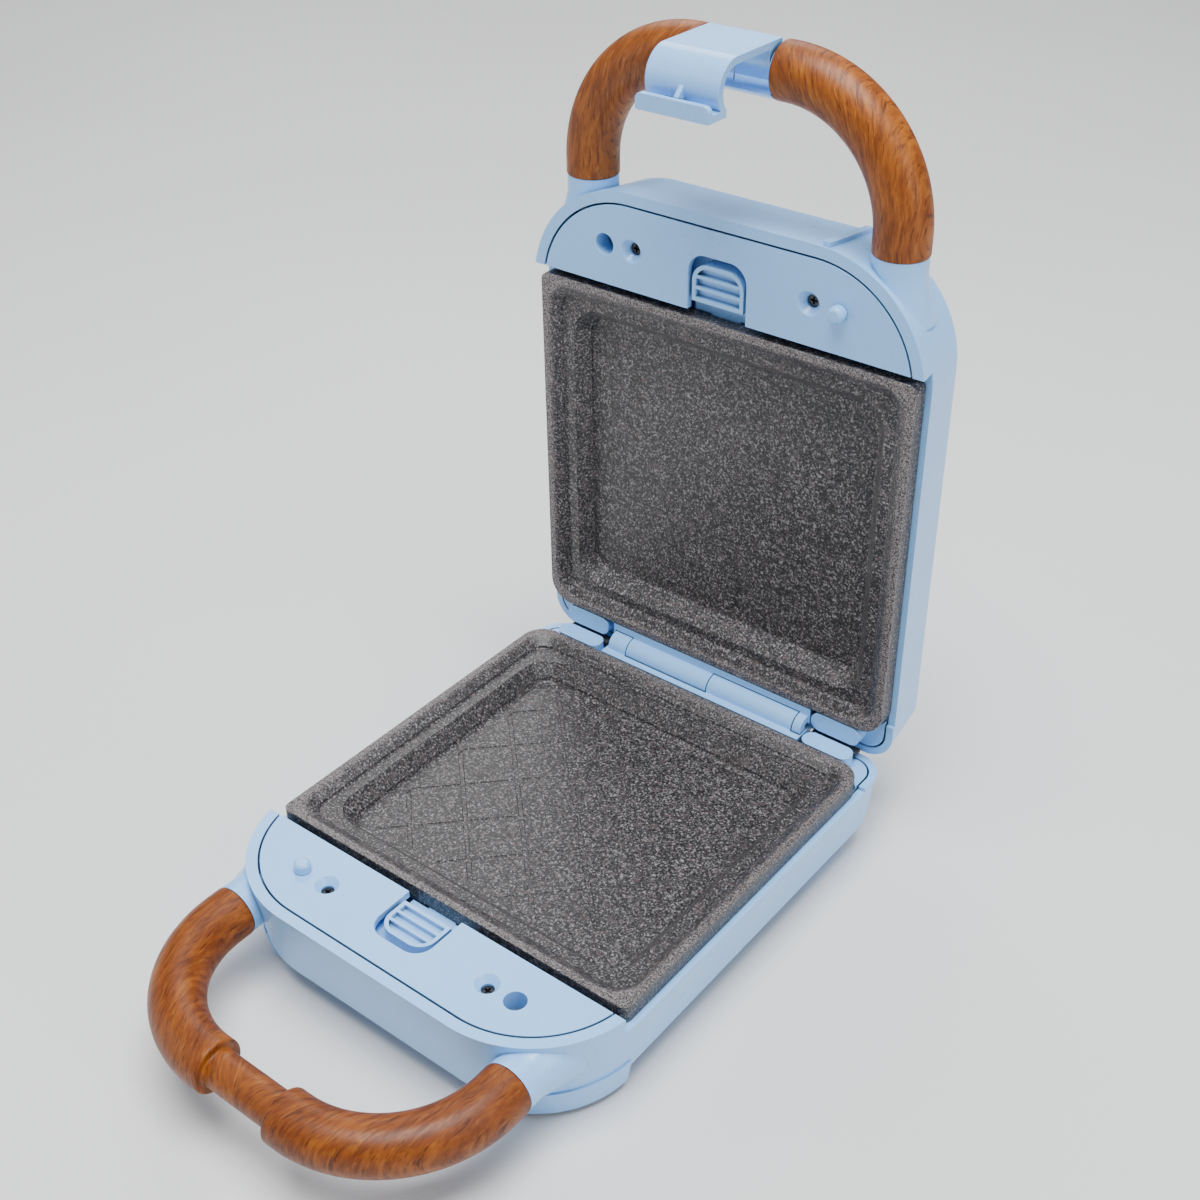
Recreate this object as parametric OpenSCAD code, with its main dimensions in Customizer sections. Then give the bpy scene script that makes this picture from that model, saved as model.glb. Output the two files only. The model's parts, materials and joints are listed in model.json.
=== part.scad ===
// Compact plate maker: two hinged halves with coated cooking plates, wood-look
// handles and a pivoting latch clip. Modelled with the lid standing open.
// Millimetres, +Z up. Origin on the table, under the middle of the open machine.
// One half is drawn around the hinge axis: the front is -Y, the half hangs in -Z.

/* [Body] */
// Width of a cooking plate over its rim
plate_w = 130; // [118:1:156]
// Length of a cooking plate, hinge side to handle side
plate_l = 120; // [100:1:144]
// Depth of one housing half, rim to floor
body_h = 26; // [25:0.5:32]
// Length of the deck end beyond the cooking plate
front_l = 32; // [31:0.5:38]
// Plan radius of the handle-end corners
corner_r = 36; // [30:1:38]
// Taper of the housing sides over their full depth
side_draft = 3; // [1:0.5:4]
// Housing wall thickness
wall_t = 2.4; // [2:0.1:2.8]

/* [Handles] */
// Radius of the wood-look grip tubes
grip_r = 7.9; // [7.4:0.1:8.6]
// Radius of the catch neck in the middle of the base grip
neck_r = 5.5; // [4.5:0.1:5.9]
// Bend radius of the grip centreline
grip_bend_r = 36.3; // [30:0.1:38]
// Reach of the grip centreline beyond the housing end
grip_reach = 40.4; // [38:0.2:50]
// Half spacing of the grip ends
grip_x = 51.6; // [49:0.2:52]

/* [Latch and buttons] */
// Half width of the latch clip
latch_half_w = 11.6; // [9:0.2:11.8]
// Thickness of the latch clip
latch_t = 2.1; // [1.8:0.1:2.4]
// Half width of a plate release button
button_half_w = 8.8; // [7.5:0.1:9]
// Travel of a plate release button
button_travel = 2.2; // [1.5:0.1:2.4]

/* [Cooking plates] */
// Depth of the plate floor under its rim
pan_depth = 9; // [7:0.5:9.5]
// Metal thickness of a plate
pan_t = 2.4; // [2:0.1:2.6]

/* [Hinge and feet] */
// Radius of the hinge knuckles
knuckle_r = 4.2; // [3.6:0.1:4.4]
// Radius of the hinge pin
pin_r = 1.6; // [1.2:0.1:1.9]
// Height of the feet under the base
foot_h = 7; // [5:0.5:9]

/* [Hidden] */

blue = [0.70, 0.80, 0.90];
wood = [0.66, 0.38, 0.17];
granite = [0.30, 0.28, 0.28];
steel = [0.72, 0.73, 0.75];
dark = [0.12, 0.12, 0.13];

fine = 96;
coarse = 48;
over = 1;

// Rim, panel gap and hinge clearances
rim_gap = 0.25;
rim_w = 3.4;
rim_deep = 4;
panel_gap = 0.7;
rear_drop = knuckle_r + 0.7;
rear_face = 0.1 - rear_drop;
rear_r = 10;
edge_r = 3;
hinge_land = 7.4;
deck_setback = 2.4;
side_drop = 5.85;
side_start = hinge_land + 2.1;
run_fit = 0.05;
body_gap = 0.4;

half_x = plate_w / 2 + 2.6;
plate_far = hinge_land + plate_l;
deck_near = plate_far + deck_setback;
body_front = plate_far + front_l;
rim_z = -rim_gap;
floor_z = -rim_gap - body_h;
inner_floor_z = floor_z + wall_t;
corner_x = half_x - corner_r;
corner_u = body_front - corner_r;

// Plate stack, downwards from the rim
skirt_h = 5.6;
pan_floor_z = rim_z - pan_depth;
pan_under_z = pan_floor_z - pan_t;
heater_r = 2.9;
heater_z = pan_under_z - heater_r;
reflector_t = 0.8;
reflector_z = heater_z - heater_r - reflector_t;
ledge_z = rim_z - 3.2;
lip_w = 2.2;
ledge_w = 3.2;
slope_w = 3.6;
plate_front_r = 2.6;
plate_rear_r = 8;

// Deck features
deck_t = 2.2;
deck_row = plate_far + 14.8;
screw_x = 30.3;
peg_x = 40.1;
peg_r = 2.5;
peg_h = 3.4;
peg_hole_r = 3.25;
cone_r = 3.6;
screw_head_r = 1.7;
screw_hole_r = 1.9;
screw_shank_r = 1.1;
boss_r = 5;
deck_boss_z = -6.4;
button_side_gap = 1.2;
recess_x = button_half_w + button_side_gap;
button_near = deck_near + 3;
button_far = deck_near + 14.6;
recess_far = button_far + button_travel + 0.6;
recess_r = 5.8;
button_r = 5.5;
button_top = rim_z - 0.5;
button_rim = 1.2;
slot_deep = 1.6;
slot_rib = 0.9;
ledge_top = rim_z - 5.4;

// Handle lines
handle_z = -10;
grip_u = body_front + grip_reach;
grip_start = body_front - 0.6;
grip_bend_u = grip_u - grip_bend_r;
grip_bend_x = grip_x - grip_bend_r;
stub_r = grip_r - 0.2;
core_r = 3;
neck_half = latch_half_w + 0.6;
cheek_t = 2;
cheek_lip = 0.6;
cheek_r = grip_r - 1;
core_u = body_front - 19;

// Hinge knuckles, base and lid taking turns along the pin
knuckle_gap = 0.4;
base_knuckles = [[-37, -30], [3.4, 36]];
lid_knuckles = [[-29.6, 3], [36.4, 39.4]];
pocket_r = knuckle_r + body_gap + 0.1;
block_x0 = -38;
block_x1 = 40.1;
block_low = -9;
block_u = 0.9;

// Rear panels with raised pads beside the knuckles
pad_x0 = 40.6;
pad_x1 = 58;
pad_u0 = 0.35;
pad_u1 = hinge_land - 0.5;
seal_reach = 0.62 * rear_drop;
seal_t = 1.1;
panel_t = 2.2;
panel_end = hinge_land + 6.6;
pillar_x = 54.5;
pillar_u = 3;
post_x = plate_w * 0.33;

// Handle stubs, feet and small parts
flare = 3.2;
flare_h = 13;
foot_turn = 62;
foot_back = -3;
foot_band = 11;
foot_top_z = floor_z + 5;
foot_top_r = corner_r - side_draft * (body_h - 5) / body_h + 0.3;
pad_t = 1.2;
foot_low_z = floor_z - foot_h + pad_t;
rear_foot_x = half_x - 17;
rear_foot_u = 18;
rear_foot_r = 8.5;
cone_h = 2.1;
screw_seat_z = -4.6;
screw_end_z = -15;
rail_x = button_half_w + 3.8;
flange_x = rail_x - 0.4;
flange_t = 1.6;
flange_z = rim_z - deck_t - 3.2 - flange_t;
rail_z = flange_z - 1.6;
button_back = recess_far + 1;
tongue_u = plate_far - 1.1;
spring_wire = 0.25;
spring_coil_r = 1.6;
spring_z = flange_z - 0.5;
stop_u = body_front - rim_w - panel_gap - 1.5;
ledge_in = lip_w + slope_w + 4;
pan_in = ledge_in - 1.6;
heater_x = plate_w * 0.24;
thermostat_u = hinge_land + plate_l / 2;
thermostat_r = 8;
groove_in = ledge_in + slope_w + 4;
groove_pitch = 17;
groove_w = 1.4;
groove_deep = 0.35;
wire_r = 1.2;
wire_x = 14;
wire_u0 = hinge_land + 12;
gland_x = 44;
gland_z = -15;
gland_r = 4.9;
gland_flange = 1.7;
gland_seat = 0.8;

// Latch clip around the closed neck
hook_in = neck_r + 0.6;
hook_out = hook_in + latch_t;
pivot_u = grip_u + 3.4;
pivot_z = 7.5;
barrel_r = 2.9;
axle_r = 1.25;
lip_low = 12.4;
lip_reach = 4.5;
lip_t = 1.8;
lip_r = 1.8;
hook_end = -46;
tab_x = hook_in * cos(hook_end);
plate_top = 10.4;
spring_half = 3.2;
rib_x = 33;
rib_h = 1.4;
scallops = 12;
lamp_x = 8;
lamp_u = thermostat_u + 38;
lamp_r = 2.5;

// Where the two halves stand
parting_z = foot_h + body_h + rim_gap;
hinge_y = (grip_u + grip_r - body_h - rim_gap) / 2;

module base_place() {
    translate([0, hinge_y, parting_z]) children();
}

module lid_place() {
    translate([0, hinge_y, parting_z]) rotate([-90, 0, 0]) mirror([0, 0, 1]) children();
}

// Drawn as if the lid were shut, then swung open with the lid
module swung_place() {
    translate([0, hinge_y, parting_z]) rotate([-90, 0, 0]) children();
}

// How far the outside wall has tapered in at a height
function taper(z) = side_draft * (rim_z - z) / body_h;

// Rounded rectangle in plan, given from the hinge line
module outline(hx, front, rear, rf, rr) {
    translate([-hx, -(front - rf)]) square([2 * hx, front - rf - rear - rr]);
    translate([-(hx - rf), -front]) square([2 * (hx - rf), rf + over]);
    translate([-(hx - rr), -rear - rr - over]) square([2 * (hx - rr), rr + over]);
    for (s = [-1, 1]) {
        translate([s * (hx - rf), -(front - rf)]) circle(r = rf, $fn = fine);
        translate([s * (hx - rr), -(rear + rr)]) circle(r = rr, $fn = fine);
    }
}

// Plan outline of a half, inset from the outside
module plan(inset) {
    outline(half_x - inset, body_front - inset, rear_face + inset, corner_r - inset,
        rear_r - inset);
}

// Section of a tapered side with a rounded lower edge, outer edge at x = 0
module side_section(reach, top, bottom, draft, edge) {
    polygon([
        [-reach, top], [0, top], [-draft, bottom + edge],
        [-draft - edge, bottom], [-reach, bottom]
    ]);
    translate([-draft - edge, bottom + edge]) circle(r = edge, $fn = coarse);
}

// The same section reaching from the middle of a corner
module corner_section(r, top, bottom, draft, edge) {
    intersection() {
        translate([r, 0]) side_section(r, top, bottom, draft, edge);
        translate([0, bottom - over]) square([r + over, top - bottom + 2 * over]);
    }
}

// Rounded, tapered block; u runs from the hinge to the front
module tub(hx, front, rear, rf, rr, top, bottom, draft, edge) {
    for (s = [-1, 1]) {
        translate([0, -rear - rr, 0]) rotate([90, 0, 0])
            linear_extrude(height = front - rf - rear - rr)
                scale([s, 1]) translate([hx, 0]) side_section(hx, top, bottom, draft, edge);
        translate([s * (hx - rf), -(front - rf), 0]) rotate([0, 0, s > 0 ? -90 : 180])
            rotate_extrude(angle = 90, $fn = fine)
                corner_section(rf, top, bottom, draft, edge);
        translate([s * (hx - rr), -(rear + rr), 0]) rotate([0, 0, s > 0 ? 0 : 90])
            rotate_extrude(angle = 90, $fn = fine)
                corner_section(rr, top, bottom, draft, edge);
    }
    translate([-(hx - rf), 0, 0]) rotate([90, 0, 90]) linear_extrude(height = 2 * (hx - rf))
        mirror([1, 0]) translate([front, 0]) side_section(rf, top, bottom, draft, edge);
    translate([-(hx - rr), 0, 0]) rotate([90, 0, 90]) linear_extrude(height = 2 * (hx - rr))
        translate([-rear, 0]) side_section(rr, top, bottom, draft, edge);
}

// Straight block between two corners, given from the hinge line
module span(x0, x1, u0, u1, z0, z1) {
    translate([x0, -u1, z0]) cube([x1 - x0, u1 - u0, z1 - z0]);
}

module x_rod(x0, x1, u, z, r, n = coarse) {
    translate([x0, -u, z]) rotate([0, 90, 0]) cylinder(r = r, h = x1 - x0, $fn = n);
}

module u_rod(x, u0, u1, z, r, n = coarse) {
    translate([x, -u0, z]) rotate([90, 0, 0]) cylinder(r = r, h = u1 - u0, $fn = n);
}

module z_rod(x, u, z0, z1, r, n = coarse) {
    translate([x, -u, z0]) cylinder(r = r, h = z1 - z0, $fn = n);
}

// Grip centreline swept with a round section: straight, bend, straight
module grip_path(s, r, u0, x1) {
    u_rod(s * grip_x, u0, grip_bend_u, handle_z, r, fine);
    translate([s * grip_bend_x, -grip_bend_u, handle_z]) rotate([0, 0, s > 0 ? -90 : 180])
        rotate_extrude(angle = 90, $fn = fine) translate([grip_bend_r, 0]) circle(r = r, $fn = coarse);
    if (s > 0) {
        x_rod(x1, grip_bend_x, grip_u, handle_z, r, coarse);
    } else {
        x_rod(-grip_bend_x, -x1, grip_u, handle_z, r, coarse);
    }
}

// Filleted stub that carries one end of a grip
module stub(s) {
    difference() {
        union() {
            u_rod(s * grip_x, core_u, grip_start, handle_z, stub_r, fine);
            translate([s * grip_x, -core_u, handle_z]) rotate([90, 0, 0])
                cylinder(r1 = stub_r + flare, r2 = stub_r, h = flare_h, $fn = fine);
        }
        span(-half_x * 2, half_x * 2, 0, grip_u, rim_z, 20);
    }
}

// Curved foot under a front corner and round foot under a rear one
module feet() {
    for (s = [0, 1]) {
        mirror([s, 0, 0]) {
            translate([corner_x, -corner_u, 0]) rotate([0, 0, -foot_turn])
                rotate_extrude(angle = foot_turn + foot_back, $fn = fine)
                    translate([foot_top_r, 0])
                        side_section(foot_band, foot_top_z, foot_low_z, 1.6, 2.4);
            z_rod(rear_foot_x, rear_foot_u, foot_low_z, floor_z + over, rear_foot_r);
        }
    }
}

// Outer moulding shared by base and lid
module housing(own, other, bore_x, footed) {
    inner_top = rim_z - rim_deep;
    cut = wall_t + taper(inner_top);
    left = side_draft - taper(inner_top);
    difference() {
        union() {
            difference() {
                union() {
                    tub(half_x, body_front, rear_face, corner_r, rear_r, rim_z, floor_z,
                        side_draft, edge_r);
                    for (s = [-1, 1]) {
                        stub(s);
                    }
                    if (footed) {
                        feet();
                    }
                }
                difference() {
                    tub(half_x - cut, body_front - cut, rear_face + cut, corner_r - cut,
                        rear_r - cut, inner_top, inner_floor_z, left, edge_r - 1);
                    for (s = [-1, 1]) {
                        u_rod(s * grip_x, core_u, body_front, handle_z, core_r + 2);
                    }
                }
                translate([0, 0, inner_top - 0.1]) linear_extrude(height = rim_deep + over)
                    plan(rim_w);
                // Side walls drop beside the plate and behind the hinge
                span(-half_x - over, half_x + over, side_start, deck_near,
                    rim_z - side_drop, over);
                span(-half_x - over, half_x + over, rear_face - over, side_start + over,
                    -rear_drop, over);
            }
            // Hinge block and this half's own knuckles
            span(block_x0, block_x1, block_u, hinge_land - 0.4, block_low, rim_z);
            span(block_x0, block_x1, rear_face + 1.2, hinge_land - 0.4, block_low, -rear_drop);
            for (k = own) {
                x_rod(k[0], k[1], 0, 0, knuckle_r, fine);
                span(k[0], k[1], -knuckle_r * 0.5, block_u + 1, -rear_drop - 1, -knuckle_r * 0.5);
            }
            // Pillars under the rear panel
            for (s = [-1, 1]) {
                z_rod(s * pillar_x, pillar_u, inner_floor_z - 0.5, -rear_drop - panel_t, 2.5);
            }
            // Posts under the reflector, pillars under the deck screws
            for (s = [-1, 1]) {
                for (u = [hinge_land + 24, plate_far - 24]) {
                    z_rod(s * post_x, u, inner_floor_z - 0.5, reflector_z, 3);
                }
                z_rod(s * screw_x, deck_row, inner_floor_z - 0.5, deck_boss_z, boss_r);
            }
        }
        for (k = other) {
            x_rod(k[0] - knuckle_gap, k[1] + knuckle_gap, 0, 0, pocket_r, fine);
        }
        x_rod(bore_x, block_x1 + over, 0, 0, pin_r + run_fit);
        for (s = [-1, 1]) {
            u_rod(s * grip_x, core_u - over, grip_start + over, handle_z, core_r + run_fit);
            z_rod(s * screw_x, deck_row, screw_end_z - 1, 0, screw_shank_r + run_fit);
        }
    }
}

// Plan of the release button and of the recess around it
module button_plan(hw, near, far, r) {
    translate([-hw, -(far - r)]) square([2 * hw, far - r - near]);
    translate([-(hw - r), -far]) square([2 * (hw - r), r + over]);
    for (s = [-1, 1]) {
        translate([s * (hw - r), -(far - r)]) circle(r = r, $fn = fine);
    }
}

// Deck at the handle end; the locating peg stands on side s, the hole opposite
module deck(s) {
    difference() {
        union() {
            intersection() {
                translate([0, 0, rim_z - deck_t]) linear_extrude(height = deck_t)
                    plan(rim_w + panel_gap);
                span(-half_x, half_x, deck_near, body_front, -20, over);
            }
            for (t = [-1, 1]) {
                z_rod(t * screw_x, deck_row, deck_boss_z, rim_z - 0.5, boss_r);
                z_rod(t * peg_x, deck_row, deck_boss_z, rim_z - 0.5, boss_r + 0.6);
                // Rails that hold the button down
                span(t > 0 ? rail_x : -rail_x - 1.6, t > 0 ? rail_x + 1.6 : -rail_x,
                    deck_near + 0.4, button_back + button_travel + 1, rail_z, rim_z - 0.5);
                span(t > 0 ? rail_x - 1.2 : -rail_x - 0.2, t > 0 ? rail_x + 0.2 : -rail_x + 1.2,
                    deck_near + 0.4, button_back + button_travel + 1, rail_z, rail_z + 1.2);
            }
            // Spring stop
            span(-3.2, 3.2, stop_u, stop_u + 1.2, spring_z - 2.4, rim_z - 0.5);
        }
        translate([0, 0, -20]) linear_extrude(height = 30)
            button_plan(recess_x, deck_near - 2, recess_far, recess_r);
        for (t = [-1, 1]) {
            z_rod(t * screw_x, deck_row, -20, over, screw_shank_r + 0.1);
            z_rod(t * screw_x, deck_row, screw_seat_z, over, screw_hole_r);
            translate([t * screw_x, -deck_row, rim_z - cone_h])
                cylinder(r1 = screw_hole_r, r2 = 2 * cone_r - screw_hole_r, h = 2 * cone_h,
                    $fn = coarse);
        }
        z_rod(-s * peg_x, deck_row, -20, over, peg_hole_r);
        z_rod(s * peg_x, deck_row, rim_z - 4, over, peg_r - 1);
    }
}

// Locating peg with a stepped tip and a spigot in the deck
module peg(s) {
    z_rod(s * peg_x, deck_row, rim_z - 4, rim_z + 0.2, peg_r - 1);
    z_rod(s * peg_x, deck_row, rim_z, rim_z + peg_h - 0.8, peg_r);
    translate([s * peg_x, -deck_row, rim_z + peg_h - 0.8])
        cylinder(r1 = peg_r, r2 = peg_r - 0.8, h = 0.8, $fn = coarse);
}

module deck_screws() {
    for (t = [-1, 1]) {
        difference() {
            z_rod(t * screw_x, deck_row, screw_seat_z, screw_seat_z + 1.6, screw_head_r);
            for (turn = [0, 90]) {
                translate([t * screw_x, -deck_row, screw_seat_z + 1.2]) rotate([0, 0, turn])
                    cube([2.2, 0.6, 1.2], center = true);
            }
        }
        z_rod(t * screw_x, deck_row, screw_end_z, screw_seat_z + 0.1, screw_shank_r);
    }
}

// Release button: slotted pad, flange under the deck, tongue that holds the plate
module button() {
    slot = (button_far - button_near - 2 * button_rim - 2 * slot_rib) / 3;
    difference() {
        translate([0, 0, flange_z]) linear_extrude(height = button_top - flange_z)
            button_plan(button_half_w, button_near, button_far, button_r);
        translate([0, 0, button_top - slot_deep]) linear_extrude(height = 2)
            button_plan(button_half_w - button_rim, button_near + button_rim,
                button_far - button_rim, button_r - button_rim);
    }
    for (i = [1:2]) {
        u = button_near + button_rim + i * slot + (i - 1) * slot_rib;
        span(-button_half_w + 1, button_half_w - 1, u, u + slot_rib, button_top - slot_deep - 0.2,
            button_top);
    }
    span(-flange_x, flange_x, button_near + 0.4, button_back, flange_z, flange_z + flange_t);
    span(-recess_x - 0.8, recess_x + 0.8, plate_far + 0.4, button_near + 1, flange_z, ledge_top);
    span(-5, 5, tongue_u, plate_far + 1, flange_z, ledge_top);
    span(-3, 3, button_back - 1.4, button_back, spring_z - 2.2, flange_z + 0.5);
}

module button_spring() {
    n = 4;
    length = stop_u - button_back;
    pitch = (length - 2 * spring_wire) / (n - 1);
    for (i = [0:n - 1]) {
        translate([0, -button_back - spring_wire - i * pitch, spring_z]) rotate([90, 0, 0])
            rotate_extrude($fn = coarse) translate([spring_coil_r, 0])
                circle(r = spring_wire, $fn = 24);
    }
    for (i = [0:n - 2]) {
        u = button_back + spring_wire + i * pitch;
        u_rod(0, u, u + pitch, spring_z + (i % 2 == 0 ? 1 : -1) * spring_coil_r, spring_wire, 24);
    }
}

// Rear panel beside the knuckles with two pads that rise to the rim
module hinge_covers() {
    difference() {
        union() {
            intersection() {
                translate([0, 0, -rear_drop - panel_t]) linear_extrude(height = panel_t)
                    plan(wall_t + taper(rim_z - rim_deep) + panel_gap + 0.1);
                span(-half_x, half_x, rear_face, panel_end, -20, over);
            }
            for (s = [-1, 1]) {
                translate([s * (pad_x0 + pad_x1) / 2, -(pad_u0 + pad_u1) / 2, -rear_drop - 0.5])
                    linear_extrude(height = rim_z + rear_drop + 0.5)
                        pad_plan((pad_x1 - pad_x0) / 2, (pad_u1 - pad_u0) / 2);
            }
        }
        span(block_x0 - 0.4, block_x1 + 0.4, rear_face - over, hinge_land + 1, -20, over);
        translate([0, 0, rim_z - skirt_h - 0.4]) linear_extrude(height = 10)
            outline(plate_w / 2 + 0.4, plate_far, hinge_land - 0.4, plate_front_r,
                plate_rear_r + 0.4);
    }
}

// Dark strips behind the pads that close the gap under the open lid
module gap_seals() {
    for (s = [0, 1]) {
        mirror([s, 0, 0])
            span(pad_x0, pad_x1 - 0.6, -seal_reach, pad_u0, -seal_reach, seal_t - seal_reach);
    }
}

module pad_plan(hw, hd) {
    r = hd - 0.2;
    translate([-hw + r, -hd]) square([2 * (hw - r), 2 * hd]);
    translate([-hw, -0.2]) square([2 * hw, 0.4]);
    for (a = [-1, 1], b = [-1, 1]) {
        translate([a * (hw - r), b * (hd - r)]) circle(r = r, $fn = coarse);
    }
}

// Sloping pocket between two insets of the plate outline, open upwards
module pocket(top, bottom, in_top, in_bottom, r, edge) {
    lift = 1;
    grow = lift * (in_bottom - in_top) / (top - bottom - edge);
    tub(plate_w / 2 - in_top + grow, plate_far - in_top + grow, hinge_land + in_top - grow,
        r + grow, r + grow, top + lift, bottom, in_bottom - in_top + grow, edge);
}

module grill_plate() {
    difference() {
        union() {
            translate([0, 0, rim_z - skirt_h]) linear_extrude(height = skirt_h)
                outline(plate_w / 2, plate_far, hinge_land, plate_front_r, plate_rear_r);
            translate([0, 0, pan_under_z]) linear_extrude(height = rim_z - pan_under_z - 1)
                outline(plate_w / 2 - pan_in, plate_far - pan_in, hinge_land + pan_in, 9, 9);
        }
        pocket(rim_z, ledge_z, lip_w, lip_w + slope_w, 9, 1);
        pocket(ledge_z, pan_floor_z, ledge_in, ledge_in + slope_w, 9.5, 1.6);
        // Notch for the tongue of the release button
        span(-6, 6, plate_far - 2.2, plate_far + over, rim_z - skirt_h - over, ledge_top + 0.4);
    }
}

module heater() {
    bend_u = plate_far - 24 - heater_x;
    for (s = [-1, 1]) {
        u_rod(s * heater_x, hinge_land + 20, bend_u, heater_z, heater_r);
        u_rod(s * heater_x, hinge_land + 13, hinge_land + 20.5, heater_z, 1.2, 24);
    }
    translate([0, -bend_u, heater_z]) rotate([0, 0, 180]) rotate_extrude(angle = 180, $fn = fine)
        translate([heater_x, 0]) circle(r = heater_r, $fn = coarse);
}

module reflector() {
    difference() {
        translate([0, 0, reflector_z]) linear_extrude(height = 4.6)
            outline(plate_w / 2 - 9, plate_far - 9, hinge_land + 9, 9, 9);
        translate([0, 0, reflector_z + reflector_t]) linear_extrude(height = 9)
            outline(plate_w / 2 - 9.8, plate_far - 9.8, hinge_land + 9.8, 8.2, 8.2);
        z_rod(0, thermostat_u, reflector_z - 1, 0, thermostat_r + 2);
    }
}

module thermostat() {
    z_rod(0, thermostat_u, pan_under_z - 4.6, pan_under_z, thermostat_r);
    z_rod(0, thermostat_u, pan_under_z - 6.2, pan_under_z - 4.5, thermostat_r - 2.4);
    for (s = [-1, 1]) {
        span(s > 0 ? 2 : -6, s > 0 ? 6 : -2, thermostat_u - 1.6, thermostat_u + 1.6,
            inner_floor_z + 2 * wire_r + 0.3, pan_under_z - 6.1);
    }
}

module thermal_fuse() {
    x_rod(-8, 8, thermostat_u - 26, reflector_z - 1.7, 1.7, 32);
    for (s = [-1, 1]) {
        x_rod(s > 0 ? 7.9 : -13, s > 0 ? 13 : -7.9, thermostat_u - 26, reflector_z - 1.7, 0.6, 24);
    }
}

// Sleeved leads lying on the floor of a half
module wiring() {
    for (i = [0:2]) {
        u_rod(wire_x + i * 2.6, wire_u0, thermostat_u - 8 + i * 4, inner_floor_z + wire_r,
            wire_r, 24);
        x_rod(-4 + i, wire_x + i * 2.6 + wire_r, thermostat_u - 8 + i * 4 - wire_r,
            inner_floor_z + wire_r, wire_r, 24);
    }
}

// Latch outline in the plane across the hinge: x = depth axis, y = height when shut
module latch_section() {
    difference() {
        translate([-grip_u, handle_z]) circle(r = hook_out, $fn = fine);
        translate([-grip_u, handle_z]) circle(r = hook_in, $fn = fine);
        translate([-grip_u - 20, handle_z]) square([40, 20]);
        translate([-grip_u, handle_z]) rotate(hook_end) square([20, 20]);
    }
    translate([-grip_u - hook_out, handle_z - 0.01]) square([latch_t, plate_top - handle_z]);
    // Finger tab hanging from the hook's tip
    translate([-grip_u + tab_x, handle_z - lip_low])
        square([latch_t, lip_low + hook_in * sin(hook_end)]);
    translate([-pivot_u, pivot_z]) circle(r = barrel_r, $fn = coarse);
    translate([-grip_u - hook_out, pivot_z - barrel_r])
        square([grip_u + hook_out - pivot_u, 2 * barrel_r]);
}

module latch_solid() {
    difference() {
        rotate([90, 0, 90]) translate([0, 0, -latch_half_w])
            linear_extrude(height = 2 * latch_half_w) latch_section();
        translate([-spring_half, -(pivot_u + barrel_r - 0.2), pivot_z - barrel_r - 1])
            cube([2 * spring_half, 20, 2 * barrel_r + 2]);
        x_rod(-20, 20, pivot_u, pivot_z, axle_r + run_fit);
    }
}

module base_shell() color(blue) base_place() difference() {
    housing(base_knuckles, lid_knuckles, base_knuckles[0][0] + 0.6, true);
    u_rod(gland_x, rear_face - over, 3, gland_z, gland_r + 0.1);
}

module base_deck() color(blue) base_place() deck(-1);
module base_deck_pegs() color(blue) base_place() peg(-1);
module base_deck_screws() color(steel) base_place() deck_screws();
module base_hinge_covers() color(blue) base_place() hinge_covers();
module base_gap_seals() color(dark) base_place() gap_seals();
module base_grill_plate() color(granite) base_place() difference() {
    grill_plate();
    // Shallow diamond grooves in the floor
    intersection() {
        translate([0, 0, pan_floor_z - groove_deep]) linear_extrude(height = 2)
            outline(plate_w / 2 - groove_in, plate_far - groove_in, hinge_land + groove_in, 4, 4);
        for (a = [-1, 1], i = [-4:4]) {
            translate([0, -thermostat_u, pan_floor_z]) rotate([0, 0, a * 45])
                translate([i * groove_pitch - groove_w / 2, -plate_l, -groove_deep])
                    cube([groove_w, 2 * plate_l, 2]);
        }
    }
}
module base_heater() color(steel) base_place() heater();
module base_reflector() color(steel) base_place() reflector();
module base_thermostat() color(dark) base_place() thermostat();
module base_thermal_fuse() color(steel) base_place() thermal_fuse();
module base_wiring() color(dark) base_place() wiring();
module base_button() color(blue) base_place() button();
module base_button_spring() color(steel) base_place() button_spring();

module terminal_block() color(dark) base_place() difference() {
    span(30, 52, 14, 26, inner_floor_z, reflector_z - 0.6);
    for (i = [0:2]) {
        u_rod(34.5 + i * 6.5, 10, 30, inner_floor_z + 2, 1.1, 24);
        z_rod(34.5 + i * 6.5, 20, inner_floor_z + 3, inner_floor_z + 6, 1.5, 24);
    }
}

module foot_pads() color(dark) base_place() {
    for (s = [0, 1]) {
        mirror([s, 0, 0]) {
            translate([corner_x, -corner_u, floor_z - foot_h])
                rotate([0, 0, -foot_turn + 4])
                    rotate_extrude(angle = foot_turn + foot_back - 8, $fn = fine)
                        translate([foot_top_r - foot_band + 1, 0]) square([foot_band - 5.5, pad_t]);
            z_rod(rear_foot_x, rear_foot_u, floor_z - foot_h, foot_low_z, rear_foot_r - 1.5);
        }
    }
}

module cord_gland() color(dark) base_place() difference() {
    outer = rear_face + taper(gland_z + gland_r + gland_flange);
    inner = rear_face + taper(gland_z - gland_r - gland_flange) + wall_t + gland_seat;
    union() {
        u_rod(gland_x, outer - 5, inner + 3, gland_z, gland_r);
        u_rod(gland_x, outer - 1.8, outer, gland_z, gland_r + gland_flange);
        u_rod(gland_x, inner, inner + 1.8, gland_z, gland_r + gland_flange - 0.4);
    }
    u_rod(gland_x, outer - 6, inner + 4, gland_z, 3.2);
}

module base_grip() color(wood) base_place() difference() {
    union() {
        for (s = [-1, 1]) {
            grip_path(s, grip_r, grip_start, neck_half);
        }
        x_rod(-neck_half - 1, neck_half + 1, grip_u, handle_z, neck_r, fine);
    }
    for (s = [-1, 1]) {
        grip_path(s, core_r + run_fit, grip_start - over, -over);
    }
}

module base_handle_core() color(steel) base_place() {
    for (s = [-1, 1]) {
        grip_path(s, core_r, core_u, 0);
    }
}

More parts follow.
